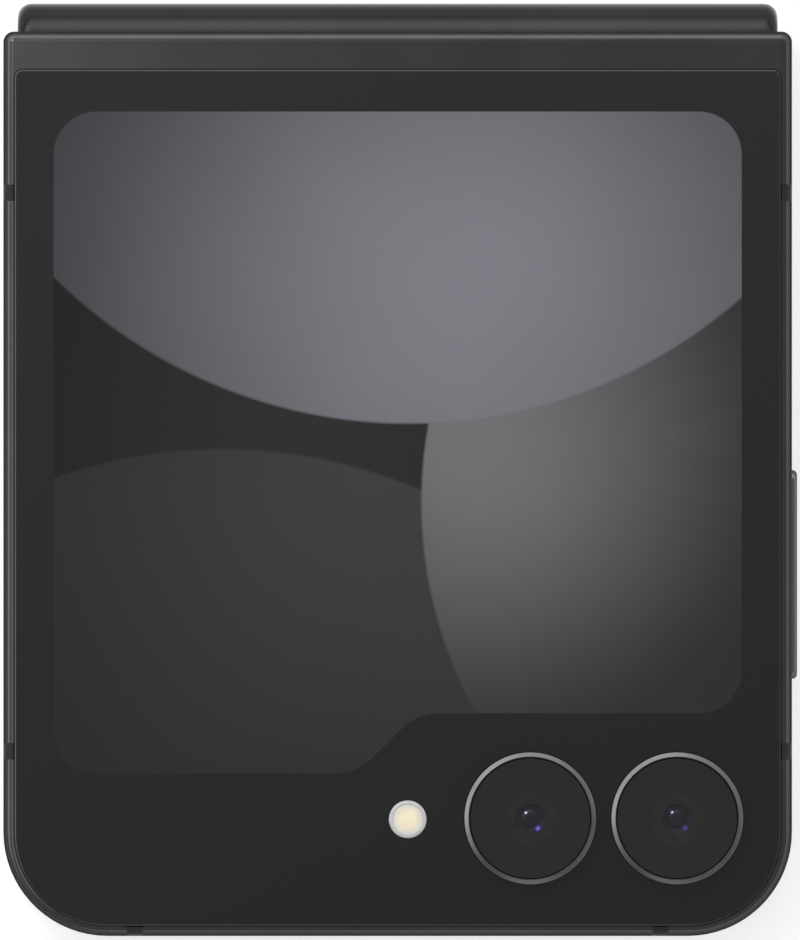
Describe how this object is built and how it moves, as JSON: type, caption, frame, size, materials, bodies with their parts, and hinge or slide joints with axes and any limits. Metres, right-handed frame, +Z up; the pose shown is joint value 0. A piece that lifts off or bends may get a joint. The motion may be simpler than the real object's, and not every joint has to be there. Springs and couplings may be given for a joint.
{
  "type": "flip phone",
  "caption": "Folding smartphone that closes in half over a two-axis geared hinge, with a cover display, two rear cameras and a bending inner display.",
  "frame": {"origin": "on the base's back glass, in the middle of the folded outline", "axes": "+X to the side with the keys, +Y to the hinge, +Z up out of the lid's cover glass"},
  "size_m": [0.0724, 0.0852, 0.0159],
  "materials": {
    "frame_metal": "satin anodised, dark grey",
    "spine_metal": "polished anodised, dark grey",
    "black_glass": "gloss, backed black",
    "lens_glass": "coated, dark",
    "band_plastic": "satin",
    "display": "gloss, folding polymer display",
    "bezel_plastic": "matt",
    "black_plastic": "matt",
    "flash_resin": "translucent cream",
    "bumper_rubber": "matt",
    "steel": "plain",
    "circuit_board": "solder mask",
    "battery_foil": "laminated pouch foil over a film wrap",
    "copper": "enamelled copper wire",
    "ribbon": "polyimide film"
  },
  "bodies": {
    "base": {"base_frame": "frame_metal", "base_antenna_bands": "band_plastic", "base_back_glass": "black_glass", "base_display": "display", "base_bezel": "bezel_plastic", "base_hinge_arm_left": "steel", "base_hinge_arm_right": "steel", "loudspeaker": "black_plastic", "bottom_microphone": "black_plastic", "haptic_motor": "steel", "base_battery": "battery_foil", "wireless_charging_coil": "copper", "usb_c_port": "steel", "base_lower_board": "circuit_board", "base_inner_cover": "black_plastic", "base_screws": "steel"},
    "base_wing": {"base_wing_plate": "steel"},
    "spine": {"spine_cover": "spine_metal", "hinge_block_left": "steel", "hinge_block_right": "steel", "gear_pins": "steel", "friction_clips": "steel", "spine_screws": "steel", "fold_display": "display", "hinge_cable": "ribbon"},
    "lid": {"lid_frame": "frame_metal", "lid_antenna_bands": "band_plastic", "cover_glass": "black_glass", "camera_rings": "frame_metal", "camera_modules": "black_plastic", "camera_lenses": "lens_glass", "flash_lens": "flash_resin", "flash_led": "flash_resin", "cover_display": "display", "lid_display": "display", "lid_bezel": "bezel_plastic", "lid_bumpers": "bumper_rubber", "lid_screws": "steel", "lid_hinge_arm_left": "steel", "lid_hinge_arm_right": "steel", "key_switches": "steel", "card_reader": "steel", "lid_battery": "battery_foil", "main_board": "circuit_board", "board_shields": "steel", "heat_spreader": "copper", "earpiece": "black_plastic", "front_camera": "black_plastic"},
    "lid_wing": {"lid_wing_plate": "steel"},
    "volume_key": {"volume_key": "frame_metal"},
    "side_key": {"side_key": "frame_metal"},
    "card_tray": {"card_tray": "frame_metal"},
    "base_pinion_left": {"base_pinion_gear_left": "steel"},
    "base_idler_left": {"base_idler_gear_left": "steel"},
    "lid_idler_left": {"lid_idler_gear_left": "steel"},
    "lid_pinion_left": {"lid_pinion_gear_left": "steel"},
    "base_pinion_right": {"base_pinion_gear_right": "steel"},
    "base_idler_right": {"base_idler_gear_right": "steel"},
    "lid_idler_right": {"lid_idler_gear_right": "steel"},
    "lid_pinion_right": {"lid_pinion_gear_right": "steel"}
  },
  "joints": [
    {"name": "spine_fold", "type": "hinge", "parent": "base", "child": "spine", "pos_m": [0, 0.0388, 0.00625], "axis": [-1, 0, 0], "range_deg": [0, 90], "deforming": ["fold_display", "hinge_cable"]},
    {"name": "lid_fold", "type": "hinge", "parent": "spine", "child": "lid", "pos_m": [0, 0.0388, 0.00865], "axis": [-1, 0, 0], "range_deg": [0, 90]},
    {"name": "base_wing_tilt", "type": "hinge", "parent": "base", "child": "base_wing", "pos_m": [0, 0.031, 0.00613], "axis": [1, 0, 0], "range_deg": [0, 4]},
    {"name": "lid_wing_tilt", "type": "hinge", "parent": "lid", "child": "lid_wing", "pos_m": [0, 0.031, 0.00877], "axis": [-1, 0, 0], "range_deg": [0, 4]},
    {"name": "volume_press", "type": "slide", "parent": "lid", "child": "volume_key", "axis": [-1, 0, 0], "range_m": [0, 0.00025], "stiffness_N_per_m": 1500, "springref_m": -0.0003},
    {"name": "side_key_press", "type": "slide", "parent": "lid", "child": "side_key", "axis": [-1, 0, 0], "range_m": [0, 0.00025], "stiffness_N_per_m": 1500, "springref_m": -0.0003},
    {"name": "card_tray_slide", "type": "slide", "parent": "lid", "child": "card_tray", "axis": [-1, 0, 0], "range_m": [0, 0.021]},
    {"name": "base_pinion_left_spin", "type": "hinge", "parent": "spine", "child": "base_pinion_left", "pos_m": [0, 0.03995, 0.00529], "axis": [-1, 0, 0], "range_deg": [-258.75, 0]},
    {"name": "base_idler_left_spin", "type": "hinge", "parent": "spine", "child": "base_idler_left", "pos_m": [0, 0.04079, 0.00665], "axis": [-1, 0, 0], "range_deg": [0, 258.75]},
    {"name": "lid_idler_left_spin", "type": "hinge", "parent": "spine", "child": "lid_idler_left", "pos_m": [0, 0.04079, 0.00825], "axis": [-1, 0, 0], "range_deg": [-258.75, 0]},
    {"name": "lid_pinion_left_spin", "type": "hinge", "parent": "spine", "child": "lid_pinion_left", "pos_m": [0, 0.03995, 0.00961], "axis": [-1, 0, 0], "range_deg": [0, 258.75]},
    {"name": "base_pinion_right_spin", "type": "hinge", "parent": "spine", "child": "base_pinion_right", "pos_m": [0, 0.03995, 0.00529], "axis": [-1, 0, 0], "range_deg": [-258.75, 0]},
    {"name": "base_idler_right_spin", "type": "hinge", "parent": "spine", "child": "base_idler_right", "pos_m": [0, 0.04079, 0.00665], "axis": [-1, 0, 0], "range_deg": [0, 258.75]},
    {"name": "lid_idler_right_spin", "type": "hinge", "parent": "spine", "child": "lid_idler_right", "pos_m": [0, 0.04079, 0.00825], "axis": [-1, 0, 0], "range_deg": [-258.75, 0]},
    {"name": "lid_pinion_right_spin", "type": "hinge", "parent": "spine", "child": "lid_pinion_right", "pos_m": [0, 0.03995, 0.00961], "axis": [-1, 0, 0], "range_deg": [0, 258.75]}
  ],
  "couplings": [
    {"joint": "lid_fold", "follows": "spine_fold", "ratio": 1},
    {"joint": "base_wing_tilt", "follows": "spine_fold", "ratio": 0.044444},
    {"joint": "lid_wing_tilt", "follows": "spine_fold", "ratio": 0.044444},
    {"joint": "base_pinion_left_spin", "follows": "spine_fold", "ratio": -2.875},
    {"joint": "base_idler_left_spin", "follows": "spine_fold", "ratio": 2.875},
    {"joint": "lid_idler_left_spin", "follows": "spine_fold", "ratio": -2.875},
    {"joint": "lid_pinion_left_spin", "follows": "spine_fold", "ratio": 2.875},
    {"joint": "base_pinion_right_spin", "follows": "spine_fold", "ratio": -2.875},
    {"joint": "base_idler_right_spin", "follows": "spine_fold", "ratio": 2.875},
    {"joint": "lid_idler_right_spin", "follows": "spine_fold", "ratio": -2.875},
    {"joint": "lid_pinion_right_spin", "follows": "spine_fold", "ratio": 2.875}
  ]
}
